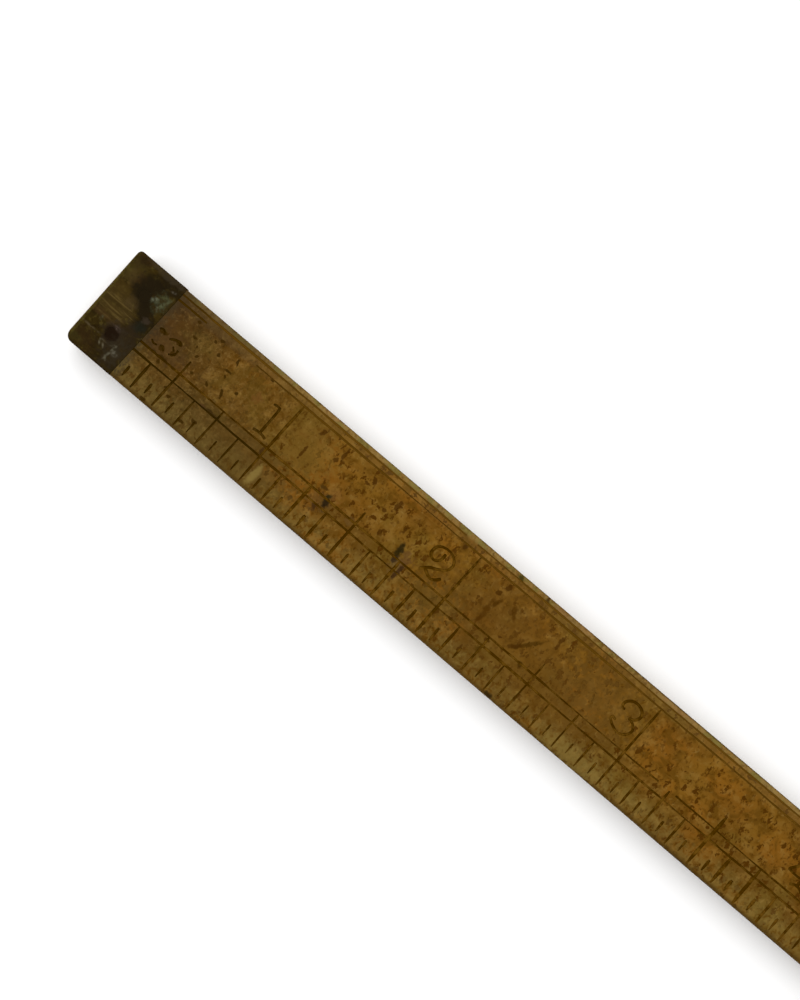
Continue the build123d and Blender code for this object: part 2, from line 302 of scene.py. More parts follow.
specks = (
    (32.4, -2.9, 0.4, 1.6), (29, -2.3, 0.5, 1, -20), (32, -3.8, 0.6, 0.6), (36.7, -2.8, 0.5, 0.9, 20),
    (36.3, -3.5, 0.8, 0.4), (40.4, -3.3, 0.5, 1.2, -10), (39.5, -4.6, 0.5, 0.5), (28.6, -5.5, 0.35, 1.7),
    (42.7, -4.8, 0.4, 0.7), (40.7, -6.7, 0.5, 0.7), (55.4, -2.1, 0.6, 1.1, -15), (54.8, -3.3, 0.6, 0.6),
    (58.1, -6.9, 0.5, 0.4, 20), (63.4, -3, 0.5, 2), (50.9, -9.2, 0.6, 1.2), (52.6, -8.9, 0.5, 0.5),
    (57.1, -8.1, 0.7, 0.4), (55.5, -10.8, 0.4, 0.9), (63.5, -10.9, 0.4, 1.3), (11.4, -3.6, 0.5, 0.35),
    (13.4, -2.5, 0.4, 0.4), (14, -1.9, 0.5, 0.35, 20), (14.6, -3.4, 0.35, 0.45), (12.2, -4.2, 0.3, 0.4),
    (16.6, -4.1, 0.7, 0.3, 10), (16.8, -2.7, 0.3, 0.8, 20), (18.9, -5.3, 0.4, 0.35),
    (17.6, -6.4, 0.3, 0.9, 25), (15.7, -6.7, 0.6, 0.25, -40), (21, -1.7, 0.6, 0.4),
    (13.4, -10.4, 0.4, 0.4, 30), (16.2, -11.6, 0.7, 0.3), (17.3, -10.7, 0.55, 0.6),
    (11.4, -12.4, 0.7, 0.4), (12.5, -9.8, 0.5, 0.3), (10, -8.2, 0.5, 0.4), (10.6, -2, 0.5, 0.3),
    (13.6, -6.8, 0.5, 0.3, -30), (16.7, -4.7, 0.25, 0.5, 30), (12.9, -5, 0.6, 0.25, 45),
    (10.5, -5.2, 0.7, 0.5, 30), (10.7, -6.6, 0.6, 0.6), (9.2, -6.8, 0.9, 0.5, -30),
    (8.4, -5.4, 0.9, 0.5, 20),
)
pale_nick = (26.15, -10.8, 0.75, 2.7, -6)


def make_boxwood():
    wood = Finish("boxwood", scale_start)
    upper = wood.upper_face()
    patches = wood.noise((0.11, 0.2, 0.2), 3)
    hue = wood.noise((0.16, 0.22, 0.22), 3, shift=40)
    clouds = wood.noise((0.7,) * 3, 3, 0.5, 0.4, 7)
    streaks = wood.noise((0.035, 1.1, 1.1), 5, 0.6, 0.3)
    grain = wood.noise((0.7, 6, 6), 3, 0.6)
    mottle = wood.noise((1.7, 1.3, 1.4), 4, 0.65, 0.6)
    wood.colour = wood.mix(wood.ramp(patches, 0.35, 0.65), paint(96, 64, 15), paint(110, 76, 19))

    # The wood's figure, a painted highlight on raised mottle, and grime from the hand at the ends and ticks
    first_inch = wood.from_ends(30, 18)
    ticks_band = wood.from_edge(5.2, 4.8)
    wood.tint(0.58, (74, 54, 22), wood.from_ends(34, 16))
    wood.tint(0.4, (72, 55, 20), ticks_band)
    wood.tint(0.5, (118, 72, 12), (hue, 0.48, 0.66), (first_inch, 1, 0, 0.4, 1))
    wood.tint(0.6, (94, 72, 22), (hue, 0.48, 0.34))
    wood.tint(0.7, (80, 52, 4), (clouds, 0.5, 0.64))
    wood.tint(0.35, (128, 97, 42), (clouds, 0.47, 0.34))
    wood.tint(0.3, (78, 52, 4), (streaks, 0.52, 0.75))
    wood.tint(0.7, (76, 46, 0), (mottle, 0.53, 0.68))
    # Painted highlight: lighter colour where the mottle is low, on the parts that the bump raises
    wood.tint(0.35, (130, 103, 50), (mottle, 0.42, 0.3))
    wood.tint(0.45, (58, 43, 16), first_inch, ticks_band)
    wood.tint(0.15, (124, 94, 38), (grain, 0.52, 0.72))
    numbers_band = wood.from_edge(5, 5.3)
    wood.tint(0.64, (46, 32, 16), numbers_band, wood.from_ends(18.5, 7.5))
    speckle = wood.noise((2.6, 2.4, 2.4), 3, 0.6, 0.4, 55)
    wood.tint(0.45, (44, 30, 4), first_inch, (speckle, 0.53, 0.66))
    wood.tint(0.25, (132, 104, 56), first_inch, (speckle, 0.46, 0.35))

    # Dark flecks, most of them across the grain, thick in some patches and nearly absent in others
    busy = wood.ramp(wood.noise((0.16, 0.2, 0.2), 2, shift=90), 0.34, 0.5, 0.25, 1)
    busy = wood.math("MULTIPLY", busy, wood.ramp(first_inch, 0, 1, 1, 0.45))
    large = flecks(wood, (1.1, 0.8), 1.3, 17, 0.6)
    small = flecks(wood, (2.3, 1.7), 1.1, 3, 0.5)
    marks = wood.math("MAXIMUM", wood.math("MULTIPLY", large, busy), wood.math("MULTIPLY", small, 0.55))
    fleck_colour = wood.mix(first_inch, paint(70, 40, 0), paint(52, 33, 0))
    marked = wood.ramp(marks, wood.ramp(first_inch, 0, 1, 0, 0.3), 1)
    wood.colour = wood.mix(marked, wood.colour, fleck_colour)

    # Dirt by the brass and the inner edge, wear on both edges, painted shade and dirt on the edges and
    # sides
    beside_brass = wood.ramp(wood.reach, tip_back - 1.1, tip_back - 0.1)
    wood.tint(0.85, (60, 50, 30), beside_brass, (mottle, 0.4, 0.58, 0.35, 1))
    wood.tint(0.15, (118, 96, 52), wood.from_inner(1.8, 1.3))
    worn = wood.from_inner(0.9, 0.35)
    wood.tint(0.7, (132, 108, 60), worn, (mottle, 0.62, 0.42, 0.35, 1))
    wood.tint(0.5, (104, 98, 44), worn, (clouds, 0.48, 0.58))
    wood.tint(0.5, (88, 68, 32), worn, (mottle, 0.56, 0.68))
    wood.tint(0.4, (136, 98, 60), worn, (hue, 0.46, 0.38))
    wood.tint(0.3, (116, 98, 48), wood.from_edge(3.4, 1.8), (mottle, 0.62, 0.45))
    wood.tint(0.38, (58, 42, 22), wood.from_inner(2, 1.7), wood.from_ends(25, 14))
    wood.tint(0.28, (58, 44, 24), worn, wood.from_ends(25, 17))
    wood.tint(0.45, (50, 38, 22), (wood.reach, tip_back - 2.6, tip_back - 0.6), numbers_band)
    # Painted shade: a dark band along the rounded graduated edge
    wood.tint(0.7, (60, 41, 8), wood.from_edge(0.7, 0.15))
    # Dirt and painted shade: darker sides and rounded long edges, partly for dirt, partly as their shade
    sides_dirt_and_shade = wood.math("MAXIMUM", wood.from_inner(0.25, 0.05), wood.from_edge(0.25, 0.05))
    wood.tint(0.6, (84, 62, 24), sides_dirt_and_shade, (streaks, 0.62, 0.42, 0.3, 1))
    wood.tint(0.7, (46, 32, 9), sides_dirt_and_shade, (streaks, 0.5, 0.62))
    wood.tint(0.45, (38, 27, 8), sides_dirt_and_shade, (mottle, 0.56, 0.66))

    for *oval, shade in halos:
        wood.tint(0.5, shade, wood.blot(*oval, ragged=0.7), upper)
    for *oval, shade in stains:
        wood.tint(0.85, shade, wood.blot(*oval), upper)
    speck = 0
    for oval in specks:
        speck = wood.math("MAXIMUM", speck, wood.blot(*oval, soft=0.5, ragged=0.55))
    wood.tint(0.85, (62, 35, 0), speck, upper)
    wood.tint(0.6, (42, 30, 0), speck, upper, first_inch)
    wood.tint(0.55, (130, 110, 56), wood.blot(*pale_nick, ragged=0.3), upper)

    wood.give("Base Color", wood.colour)
    wood.give("Roughness", wood.ramp(mottle, 0.3, 0.7, 0.5, 0.68))
    wood.give("Specular IOR Level", 0.02)
    height = wood.math("ADD", wood.math("MULTIPLY", grain, 0.25), wood.math("MULTIPLY", mottle, -0.6))
    wood.bump(wood.math("SUBTRACT", height, wood.math("MULTIPLY", marks, 0.8)), 0.06)
    return wood.material


def make_ink():
    """Old ink and dirt in the engraved lines, pale by the inner edge and worn off at the graduated one."""
    ink = Finish("ink")
    first_inch = ink.from_ends(27, 23)
    upper_line = ink.math("MULTIPLY", ink.from_edge(4.5, 4.8), ink.from_edge(5.7, 5.4))
    kept_paler = ink.ramp(ink.math("MAXIMUM", upper_line, ink.from_inner(2.2, 1.9)), 0, 1, 1, 0.3)
    lower_line = ink.math("MULTIPLY", ink.from_edge(3.5, 3.7), ink.from_edge(4.6, 4.3))
    grime = ink.math("MAXIMUM", ink.math("MULTIPLY", first_inch, lower_line), ink.from_ends(13, 10, 0, 0.7))
    faded = ink.ramp(ink.noise((0.8, 1, 1), 3, 0.65), 0.42, 0.64, 0, 0.9)
    faded = ink.math("MAXIMUM", faded, ink.from_inner(2.1, 1.9, 0, 0.55))
    faded = ink.math("MAXIMUM", faded, ink.from_inner(1.2, 0.9, 0, 0.8))
    faded = ink.math("MAXIMUM", faded, ink.from_edge(1.1, 0.3, 0, 0.7))
    faded = ink.math("MULTIPLY", faded, ink.ramp(grime, 0, 1, 1, 0.2))
    soiled = ink.math("MULTIPLY", first_inch, kept_paler)
    dark = ink.mix(grime, ink.mix(soiled, paint(64, 40, 0), paint(56, 36, 0)), paint(46, 30, 0))
    pale = ink.mix(soiled, paint(98, 68, 16), paint(74, 52, 12))
    ink.give("Base Color", ink.mix(faded, dark, pale))
    ink.give("Roughness", ink.ramp(faded, 0, 0.8, 0.75, 0.6))
    ink.give("Specular IOR Level", 0)
    ink.bump(ink.noise((4,) * 3, 3), 0.03)
    return ink.material


def make_brass(name, dark, light, polish, turned_disc=False):
    """Brass with years of dark patina, rubbed brighter in places and brushed along the rule or in rings."""
    brass = Finish(name, -tip_end)
    tone = brass.noise((0.3,) * 3, 4, 0.6)
    reddish = brass.noise((0.35, 0.5, 0.5), 3, 0.6, shift=31)
    if turned_disc:
        round_x, round_y, _ = brass.split(brass.vector("NORMALIZE", brass.flat))
        radius = brass.vector("LENGTH", brass.flat)
        spot = brass.point(brass.math("MULTIPLY", radius, 5), round_x, round_y)
        brass.brushed = brass.noise((1, 0.7, 0.7), 3, 0.6, place=spot)
    else:
        brass.brushed = brass.noise((0.16, 4.2, 4.2), 4, 0.65)
    pits = brass.ramp(brass.noise((2.2,) * 3, 3, 0.6, 0.5), 0.6, 0.72)
    brass.colour = brass.mix(brass.ramp(tone, 0.35, 0.65), paint(*dark), paint(*light))
    brass.tint(0.5, (52, 34, 16), (reddish, 0.5, 0.7))
    brass.tint(0.5, polish, (brass.brushed, 0.5, 0.72))
    brass.tint(0.5, (20, 14, 6), pits)
    brass.give("Metallic", 0.6)
    brass.give("Specular IOR Level", 0.02)
    brass.give("Specular Tint", paint(214, 178, 106))
    brass.give("Roughness", brass.ramp(tone, 0.3, 0.7, 0.38, 0.55))
    brass.give("Base Color", brass.colour)
    height = brass.math("MULTIPLY", brass.brushed, 0.6)
    brass.bump(brass.math("SUBTRACT", height, brass.math("MULTIPLY", pits, 0.5)), 0.03)
    return brass


# Marks of the first tip: distance from its end, y, length, width, an angle if they lie askew, share and
# mostly a colour
tip_zones = (
    (1.2, -1.9, 3, 2.4, 0.5, (56, 47, 18)), (1.5, -0.7, 1.4, 0.8, 0.7, (34, 23, 8)),
    (2, -2.9, 1.6, 2, 0.4, (54, 36, 18)), (1.6, -4.6, 3.2, 1.8, 0.5, (58, 44, 16)),
    (1.3, -2.9, 2.2, 1.6, 0.35, (66, 54, 26)), (1.2, -1, 2.4, 1.6, 0.35, (38, 29, 16)),
    (1.2, -8.1, 3.6, 0.9, 0.6, (46, 30, 16)), (1.6, -11.3, 3.2, 2, 0.6, (42, 29, 13)),
    (1, -11.9, 1, 0.8, 0.7, (28, 20, 6)), (1, -12, 1.6, 1, 0.4, (58, 50, 20)),
)
dark_stain = (
    (5.6, -0.9, 3, 2.1, 0.7), (3.9, -2.3, 3.8, 2.5, 30, 0.9), (3.7, -3.6, 2.7, 2, 0.95),
    (4.9, -4.7, 3.2, 1.9, -42, 0.95), (5.8, -6.3, 1.9, 2.5, -20, 0.9), (5.4, -8.8, 2.8, 3, 0.6),
    (4.9, -11.2, 4.6, 3.2, 0.5),
)
tip_scratches = (
    (5.1, -3.2, 0.75, 0.48, 38, 0.8, (88, 90, 72)), (5.7, -3.6, 1.2, 0.288, -49, 0.7, (80, 82, 62)),
    (6.25, -3.1, 1.8, 0.312, 65, 0.55, (76, 78, 54)), (5.75, -2.5, 0.9, 0.42, 20, 0.5, (68, 70, 44)),
    (5.65, -3.55, 0.35, 0.42, 0.9, (24, 22, 8)), (6.15, -1.35, 0.6, 0.24, 10, 0.6, (74, 68, 56)),
    (3.45, -10.65, 0.6, 0.192, -61, 0.75, (84, 78, 60)),
    (3.95, -10.7, 0.7, 0.192, -52, 0.75, (82, 76, 58)), (3.7, -10.35, 0.7, 0.24, 0.5, (70, 64, 48)),
    (5.15, -10.8, 1.7, 0.24, 82, 0.7, (84, 80, 64)), (5.6, -10.7, 0.7, 0.54, 0.65, (86, 82, 68)),
    (4.95, -10.1, 0.5, 0.24, 40, 0.6, (78, 74, 58)), (5.1, -11.7, 0.5, 0.24, -45, 0.6, (80, 76, 60)),
    (4.05, -8.4, 0.9, 0.36, -15, 0.6, (72, 60, 52)), (1.2, -10, 2.4, 0.216, 0.6, (76, 66, 46)),
    (1.9, -8.55, 0.4, 0.48, 0.6, (66, 66, 46)),
)


def make_tip_brass():
    """The brass of the tips, with the stain, verdigris and scratches of the first one."""
    brass = make_brass("tip_brass", (32, 24, 7), (46, 35, 10), (54, 42, 13))
    upper = brass.upper_face()
    mottle = brass.noise((1.6,) * 3, 4, 0.65, 0.5, 5)

    # Olive and reddish zones on the photographed face, and plainer, brighter brass on all the others
    first_face = brass.math("MULTIPLY", upper, brass.ramp(brass.x, 1, -1))
    blotchy = brass.ramp(first_face, 0, 1, 0.4, 1)
    brass.tint(0.65, (66, 56, 22), (mottle, 0.46, 0.34), blotchy)
    brass.tint(0.65, (26, 17, 4), (mottle, 0.54, 0.66), blotchy)
    plain = brass.ramp(first_face, 1, 0)
    dulled = brass.noise((0.45, 0.5, 0.5), 3, 0.6, shift=3)
    brass.tint(0.7, (92, 76, 40), plain)
    brass.tint(0.35, (124, 103, 58), plain, (dulled, 0.4, 0.66))
    brass.tint(0.3, (130, 108, 62), plain, (brass.brushed, 0.5, 0.66))
    brass.tint(0.4, (48, 37, 17), plain, (mottle, 0.5, 0.72))
    for *oval, share, shade in tip_zones:
        brass.tint(share, shade, brass.blot(*oval), upper)

    # The brushed stripes, the brighter rim and the dented end
    rubbed = brass.blot(2.2, -6.5, 5.2, 3.6, ragged=0.25)
    stripes = brass.noise((0.15, 2.6, 1), 3, 0.7, shift=12)
    brass.tint(0.5, (64, 50, 22), rubbed, upper)
    brass.tint(0.5, (84, 69, 36), rubbed, upper, (stripes, 0.52, 0.62))
    brass.tint(0.5, (40, 30, 10), rubbed, upper, (stripes, 0.47, 0.38))
    rim = brass.ramp(brass.reach, tip_end - 0.65, tip_end - 0.3)
    brass.tint(0.6, (80, 72, 30), rim, first_face, (mottle, 0.6, 0.44, 0.2, 1))
    end_face = brass.ramp(brass.reach, tip_end - 0.35, tip_end - 0.12)
    dents = brass.noise((2.6, 2.6, 3.4), 3, 0.65, 0.4, 21)
    brass.tint(0.5, (90, 74, 38), end_face, (mottle, 0.7, 0.36, 0.4, 1))
    brass.tint(0.3, (122, 101, 56), end_face, (dents, 0.52, 0.66))
    brass.tint(0.3, (42, 31, 12), end_face, (dents, 0.46, 0.36))

    # The dark stain runs from the back edge towards the end and back again
    for *oval, share in dark_stain:
        brass.tint(share, (25, 19, 9), brass.blot(*oval, soft=1, ragged=0.3), upper)
    brass.tint(0.5, (40, 31, 21), brass.blot(5.3, -9.6, 3.2, 5.6), upper)
    brass.tint(0.45, (56, 48, 34), brass.blot(4.6, -0.35, 4.6, 0.8), upper)
    brass.tint(0.4, (58, 46, 26), brass.blot(3.4, -5.2, 1.6, 1.4), upper)
    brass.tint(0.55, (40, 33, 24), brass.blot(3.9, -9.1, 2.3, 2.2), upper)
    brass.tint(0.95, (23, 14, 7), brass.blot(3.95, -9.2, 1.8, 1.7, -20, 0.7, 0.2), upper)
    brass.tint(0.5, (21, 26, 20), brass.blot(5.9, -6.7, 1.3, 1.2, 0, 1.4, 0.3), upper)
    brass.tint(0.35, (60, 50, 40), brass.blot(6, -5.7, 0.9, 0.7), upper)
    brass.tint(0.4, (44, 40, 28), brass.blot(5.6, -10.6, 2.6, 3.6), upper, (mottle, 0.4, 0.6))

    # Verdigris, then pale scratches and crusts
    green = brass.math("MULTIPLY", brass.blot(5.85, -3.2, 1.8, 2.2, 0, 1, 0.5), upper)
    brass.tint(0.75, (44, 44, 26), green, (mottle, 0.62, 0.4, 0.25, 1))
    brass.tint(0.35, (60, 62, 44), green, (mottle, 0.5, 0.4))
    crumbs = brass.ramp(brass.noise((3.6,) * 3, 2, 0.6, 0.4, 17), 0.38, 0.56, 0.2, 1)
    for *oval, share, shade in tip_scratches:
        brass.tint(share, shade, brass.blot(*oval, soft=1.6, ragged=0.35), upper, crumbs)
    brass.give("Base Color", brass.colour)
    return brass.material


def make_steel():
    steel = Finish("steel")
    rust = steel.ramp(steel.noise((1.6,) * 3, 4, 0.6), 0.36, 0.62)
    steel.give("Base Color", steel.mix(rust, paint(92, 84, 72), paint(56, 38, 24)))
    steel.give("Metallic", steel.ramp(rust, 0, 1, 0.8, 0.2))
    steel.give("Roughness", steel.ramp(rust, 0, 1, 0.45, 0.7))
    steel.bump(rust, 0.03)
    return steel.material


boxwood = make_boxwood()
ink = make_ink()
tip_brass = make_tip_brass()
joint_brass = make_brass("joint_brass", (52, 41, 19), (84, 66, 30), (124, 100, 50)).material
disc_brass = make_brass("disc_brass", (50, 39, 17), (84, 66, 29), (128, 103, 50), True).material
rivet_brass = make_brass("rivet_brass", (66, 51, 20), (98, 76, 32), (136, 110, 54)).material
steel = make_steel()


# Shapes are lists of points and faces. Several of them can go into one object.

def skin(rings, closed=False):
    """Skin over equal rings of points, capped at its two ends or closed into a loop."""
    size = len(rings[0])
    points = [point for ring in rings for point in ring]
    faces = []
    if not closed:
        faces += [tuple(range(size)), tuple(range(len(points) - size, len(points)))]
    for i in range(len(rings) - (0 if closed else 1)):
        here, there = i * size, (i + 1) % len(rings) * size
        for j in range(size):
            k = (j + 1) % size
            faces.append((here + j, there + j, there + k, here + k))
    return points, faces


def block(xs, ys, zs):
    """Box between two values of x, of y and of z."""
    return skin([[(x, ys[0], zs[0]), (x, ys[1], zs[0]), (x, ys[1], zs[1]), (x, ys[0], zs[1])] for x in xs])


def turned(centre, axis, profile, steps):
    """Shape turned about an axis through centre. profile is (radius, height) from one end to the other."""
    rings = []
    for radius, height in profile:
        ring = []
        for i in range(steps):
            angle = math.tau * i / steps
            a, b = radius * math.cos(angle), radius * math.sin(angle)
            ring.append((centre[0] + a, centre[1] + b, centre[2] + height) if axis == "Z" else
                        (centre[0] + a, centre[1] + height, centre[2] + b))
        rings.append(ring)
    return skin(rings)


def both_ends(low, high, end):
    """Profile between two heights, with like ends. end is (radius, height from the end), middle first."""
    return [(r, low + height) for r, height in end] + [(r, high - height) for r, height in reversed(end)]


def new_object(name, data):
    piece = bpy.data.objects.new(name, data)
    bpy.context.scene.collection.objects.link(piece)
    return piece


def solid(name, shapes, material):
    """Object made of shapes, its faces turned outwards."""
    points, faces = [], []
    for more_points, more_faces in shapes:
        start = len(points)
        points += more_points
        faces += [tuple(start + i for i in face) for face in more_faces]
    mesh = bpy.data.meshes.new(name)
    mesh.from_pydata(points, [], faces)
    mesh.materials.append(material)
    shell = bmesh.new()
    shell.from_mesh(mesh)
    bmesh.ops.recalc_face_normals(shell, faces=shell.faces)
    shell.to_mesh(mesh)
    shell.free()
    return new_object(name, mesh)


def combine(piece, shapes, material, operation="DIFFERENCE"):
    """Cut shapes out of a piece, or join them to it with UNION. They don't overlap one another."""
    if not shapes:  # a short stretch of the rule can have no strokes in one of their layers
        return
    tool = solid("tool", shapes, material)
    modifier = piece.modifiers.new("combine", "BOOLEAN")
    modifier.object = tool
    modifier.operation = operation
    modifier.solver = "MANIFOLD"
    modifier.material_mode = "TRANSFER"
    depsgraph = bpy.context.evaluated_depsgraph_get()
    result = bpy.data.meshes.new_from_object(piece.evaluated_get(depsgraph))
    piece.modifiers.clear()
    piece.data = result
    bpy.data.objects.remove(tool)


def settle(piece, arm, body, slot, *nodes):
    """Shade a finished piece, note where each point lies on the straight rule and turn it to its arm."""
    mesh = piece.data
    mesh.name = piece.name
    spots = mesh.attributes.new("place", "FLOAT_VECTOR", "POINT")
    for vertex, spot in zip(mesh.vertices, spots.data):
        spot.vector = vertex.co
    for face in mesh.polygons:
        face.use_smooth = max(abs(value) for value in face.normal) < 0.9999
    mesh.set_sharp_from_angle(angle=math.radians(35))
    mesh.transform(turns[arm].to_4x4() @ Matrix.Scale(mm, 4))
    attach(piece, body)
    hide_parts(*nodes)


# The leg section, worn unevenly along its four long edges

station_step = 0.4
corner_steps = 4

# Nicks in the long edges: distance from the zero of the scale, edge, depth and length
nick_places = (
    (55.6, 0, 0.2, 1.8), (59.3, 0, 0.15, 1.6), (61.3, 1, 0.18, 2), (88, 1, 0.2, 3.2), (97.5, 0, 0.15, 2.4),
    (121, 3, 0.2, 3), (142, 2, 0.2, 3.6), (171, 0, 0.2, 2.8), (196, 1, 0.25, 4), (231, 2, 0.2, 2.6),
    (262, 0, 0.15, 3), (334, 1, 0.2, 3.6), (351, 3, 0.2, 3), (389, 0, 0.2, 2.6), (412, 1, 0.2, 3.2),
    (437, 2, 0.25, 4), (470, 0, 0.2, 3), (502, 1, 0.2, 3.4), (533, 3, 0.2, 2.8), (561, 0, 0.15, 2.6),
    (580, 1, 0.2, 3.6),
)


def wander(x, lane):
    """Smooth uneven value between 0 and 1 along the rule, different in each lane.

    What uses it has a lane of its own, and multiplies x to vary faster.
    """
    slow = noise.noise(Vector((x * 0.04, lane * 5.7, 1.3)))
    fast = noise.noise(Vector((x * 0.35, lane * 3.1, 8.9)))
    return min(1, max(0, 0.5 + 0.6 * slow + 0.25 * fast))


def nick(x, corner):
    """Depth of the nicks in one long edge at x."""
    depth = 0
    for distance, nicked_corner, most, length in nick_places:
        reach = abs(x - scale_start - distance) / (length / 2)
        if nicked_corner == corner and reach < 1:
            depth = max(depth, most * (1 - reach * reach) ** 2)
    return depth


def quarter(y, z, radius, first_angle):
    """Points (y, z) of a quarter of a circle."""
    angles = [math.radians(first_angle + 90 * step / corner_steps) for step in range(corner_steps + 1)]
    return [(y + radius * math.cos(angle), z + radius * math.sin(angle)) for angle in angles]


def leg_ring(x, least, most):
    """Points round the leg section at x, its corners worn to radii between least and most."""
    corners = ((inner_y, top_z, 0), (edge_y, top_z, 90), (edge_y, 0, 180), (inner_y, 0, 270))
    ring = []
    for corner, (y, z, first_angle) in enumerate(corners):
        radius = least + (most - least) * wander(x, corner) + nick(x, corner)
        inwards = 0.03 * wander(x, 4 + corner // 2 % 2) if most > 0.3 else 0
        middle_y = y - radius - inwards if corner in (0, 3) else y + radius + inwards
        middle_z = z - radius if corner < 2 else z + radius
        ring += [(x, y, z) for y, z in quarter(middle_y, middle_z, radius, first_angle)]
    return ring


def leg_bar(name, near, far, arm, material, least=0.2, most=0.5):
    """Stretch of the leg section between two distances."""
    count = max(2, round((far - near) / station_step))
    places = [sides[arm] * (near + (far - near) * i / count) for i in range(count + 1)]
    return solid(name, [skin([leg_ring(x, least, most) for x in places])], material)


def crossing(arm, near, far, low, high, over=spare):
    """Block across the leg, and so far over its edges, between two distances and two heights."""
    return block((sides[arm] * near, sides[arm] * far), (edge_y - over, inner_y + over), (low, high))


seam_lean = 0.4
end_lean = 0.13


def tip_shift(place, y):
    """How much nearer the round joint the tip lies at y than at the graduated edge, its seam askew too."""
    to_end = (place - tip_back) / (tip_end - tip_back)
    share = (y - edge_y) / leg_width
    return to_end * end_lean * share + (1 - to_end) * seam_lean * (share - 0.5)


def rebate(arm, low, high):
    """Block that makes room for one flap of the tip, its near face leaning like the flap's back edge."""
    rings = []
    for y in (edge_y - spare, inner_y + spare):
        near = sides[arm] * (tip_back - tip_shift(tip_back, y))
        far = sides[arm] * (core_end + spare)
        rings.append([(near, y, low), (far, y, low), (far, y, high), (near, y, high)])
    return skin(rings)


def roomy(level):
    """Two heights a little further apart, for the seam of dirt above and below a tang."""
    return level[0] - seam_room, level[1] + seam_room


# Rivets

grime_width = 0.14
grime_depth = 0.1


def rivet_places(node, arm, count):
    """Middles of the rivets of a CAD node, beside the inner and the outer edge by turns, and the radius."""
    low, high = span(node, arm)
    radius = (high.x - low.x if count == 2 else rivet_diameter) / 2
    step = (high.x - low.x - 2 * radius) / (count - 1)
    rows = (high.y - radius, low.y + radius)
    return [(low.x + radius + step * i, rows[i % 2]) for i in range(count)], radius


def rivet_holes(places, radius):
    """Cutters for rivet holes, flared at the faces, where dirt has gathered."""
    over = 0.3
    flare = grime_width * (grime_depth + over) / grime_depth
    profile = both_ends(0, top_z, [(radius + flare, -over), (radius, grime_depth)])
    return [turned((x, y, 0), "Z", profile, round_steps) for x, y in places]


def plain_holes(places, radius):
    return [turned((x, y, 0), "Z", [(radius, -0.5), (radius, top_z + 0.5)], round_steps) for x, y in places]


def make_rivets(node, arm, body, count):
    """Rivets of one CAD node. Those of the tips are filed flush, the others are a little domed."""
    places, radius = rivet_places(node, arm, count)
    if count == 2:
        radius -= 0.003 if arm == "left" else 0.02
        end = [(radius * 0.5, 0.006), (radius * 0.9, 0.004), (radius * 0.98, 0.006), (radius, 0.02)]
    else:
        radius -= rivet_room
        end = [(radius * 0.5, 0.02), (radius * 0.8, 0.02), (radius * 0.95, 0.03), (radius, 0.12)]
    shapes = [turned((x, y, 0), "Z", both_ends(0, top_z, end), round_steps) for x, y in places]
    piece = solid(node + "_brass", shapes, tip_brass if count == 2 else rivet_brass)
    settle(piece, arm, body, "brass", node)


# The engraved scales. Each is drawn in x and y on one face: "upper", or "lower" turned over end for end.

def on_face(face, x, y, height):
    """Point at a height over one face of the rule."""
    if face == "upper":
        return (x, y, top_z + height)
    return (-x, y, -height)


def groove(face, path, widths, depth=0.12, closed=False):
    """Cutter that engraves a path of (x, y) points, as wide at the surface as widths says."""
    over = 0.1
    rings = []
    last = len(path) - 1
    for i, (x, y) in enumerate(path):
        before = path[i - 1] if closed else path[max(i - 1, 0)]
        after = path[(i + 1) % len(path)] if closed else path[min(i + 1, last)]
        run = Vector((after[0] - before[0], after[1] - before[1])).normalized()
        lip = widths[i] / 2
        floor = lip * 0.55
        above = lip + (lip - floor) * over / depth
        section = ((-above, over), (above, over), (floor, -depth), (-floor, -depth))
        rings.append([on_face(face, x - run.y * a, y + run.x * a, height) for a, height in section])
    return skin(rings, closed)


def tick_shapes(face, x_low, x_high):
    """Ticks for every sixteenth of an inch, or every eighth on the lower face."""
    shapes = []
    first_part = math.ceil((x_low + 0.25 - scale_start) * 16 / inch)
    last_part = math.floor((x_high - 0.25 - scale_start) * 16 / inch)
    for part in range(first_part, last_part + 1):
        if face == "lower" and part % 2:
            continue
        length = next(tick_lengths[step] for step in (16, 8, 4, 2, 1) if part % step == 0)
        x = scale_start + part * inch / 16 + 0.03 * (wander(part * 9.7, 11) - 0.5)
        length += 0.3 * (wander(part * 7.3, 12) - 0.5) if length < 3 or 6 < length < 8 else 0
        steps = 4 if length < 4 else 8
        path, widths = [], []
        start = (0.5 if length < 3 else 0.1) + 0.5 * wander(part * 4.1, 16)
        for i in range(steps + 1):
            run = start + (length - start) * i / steps
            wobble = 0.09 * (wander(part * 5.1 + run * 2.5, 13) - 0.5)
            path.append((x + wobble + (run - length / 2) * math.tan(tick_lean), edge_y + run))
            width = 0.15 + 0.36 * wander(part * 3.3 + run * 2.3, 14)
            if length < 3:
                width *= 0.6 + 0.6 * i / steps
            widths.append(width * (0.6 if i in (0, steps) else 1))
        shapes.append(groove(face, path, widths, 0.09 + 0.05 * wander(part * 2.3, 15)))
    return shapes


worn_border = (12, 17.8)


def border_shapes(face, x_low, x_high):
    """The four lines along the leg, uneven in width and here and there worn away."""
    shapes = []
    for row, inset in enumerate(border_insets):
        path, widths = [], []
        count = round((x_high - x_low + 1) / 0.8)
        for i in range(count + 1):
            x = x_low - 0.5 + (x_high - x_low + 1) * i / count
            rubbed = wander(x * 1.3, 20 + row) > (0.93 if row < 2 else 0.82)
            if face == "upper" and row == 2 and worn_border[0] < x - scale_start < worn_border[1]:
                rubbed = True
            if not rubbed:
                y = edge_y + inset + 0.14 * (wander(x * 1.9, 30 + row) - 0.5)
                path.append((x, y))
                widths.append((0.09 if row < 3 else 0.05) + 0.27 * wander(x * 2.9, 40 + row))
            if rubbed or i == count:
                if len(path) > 2:
                    shapes.append(groove(face, path, widths, 0.09))
                path, widths = [], []
    return shapes


